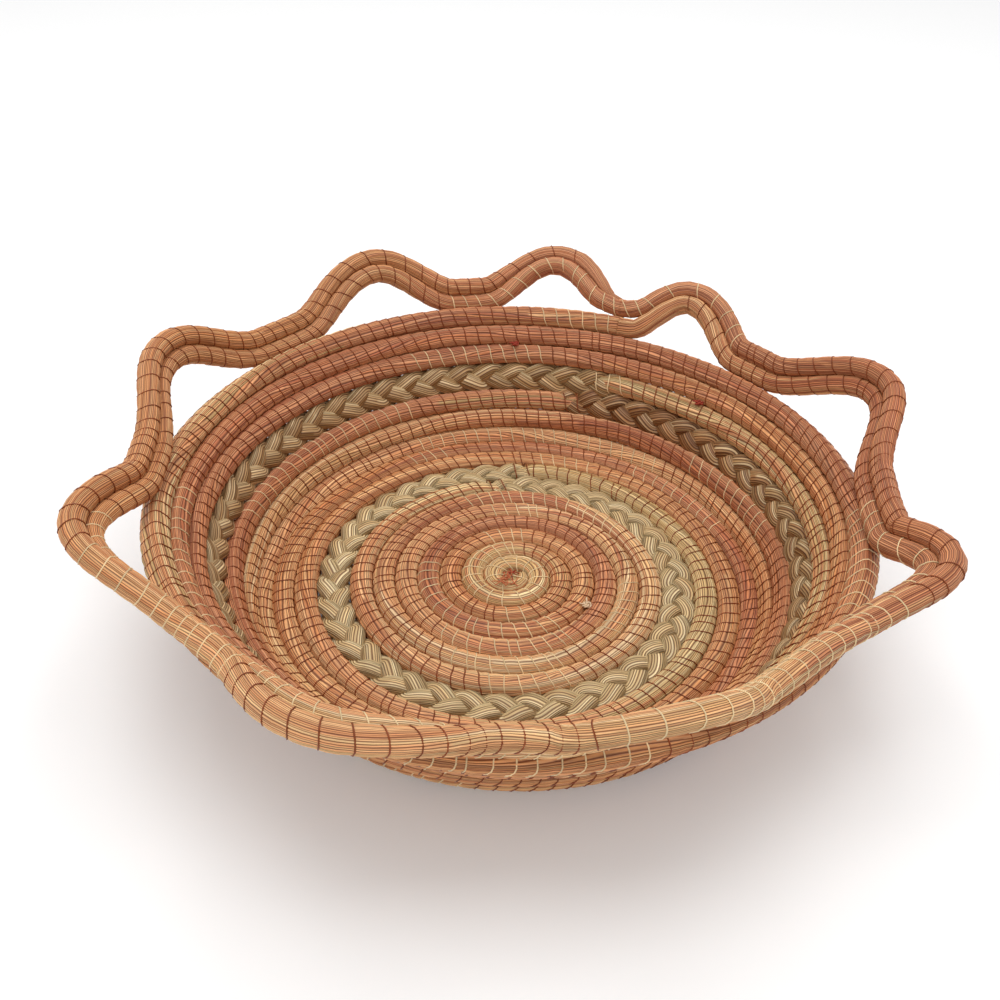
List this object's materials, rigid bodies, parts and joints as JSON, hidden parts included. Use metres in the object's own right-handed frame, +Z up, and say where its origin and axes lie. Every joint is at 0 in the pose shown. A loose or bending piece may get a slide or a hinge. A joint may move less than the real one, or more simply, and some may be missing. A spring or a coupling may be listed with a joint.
{
  "type": "pine needle basket",
  "caption": "Round open basket of coiled pine needle bundles sewn with thread, with plaited rows in its floor and wall and a rim of paired cords that rise in open lobes.",
  "frame": {"origin": "on the table, under the centre of the coil's spiral", "axes": "+Z up, +Y towards the back of the basket as pictured, +X towards the picture's right"},
  "size_m": [0.2678, 0.2756, 0.0762],
  "materials": {
    "needle_brown": "dried red-brown pine needles with a low natural sheen",
    "needle_straw": "dried straw-coloured pine needles with a low natural sheen",
    "needle_green": "dried green-tan pine needles with a low natural sheen",
    "needle_braid": "plaited green-tan pine needles with a low natural sheen",
    "red_thread": "twisted red sewing thread",
    "pale_thread": "waxed cream and brown sewing thread"
  },
  "bodies": {
    "root": {"start_knot": "red_thread", "start_coil": "needle_green", "inner_floor_coil": "needle_brown", "straw_floor_coil": "needle_straw", "floor_braid": "needle_braid", "green_floor_coil": "needle_green", "outer_floor_coil": "needle_brown", "lower_wall_coil": "needle_brown", "upper_wall_coil": "needle_brown", "wall_braid": "needle_braid", "green_wall_coil": "needle_green", "rim_coil": "needle_brown", "scallop_inner_cord": "needle_brown", "scallop_outer_cord": "needle_brown", "floor_thread_knot": "pale_thread", "back_thread_knot": "red_thread", "right_thread_knot": "red_thread"}
  },
  "joints": []
}
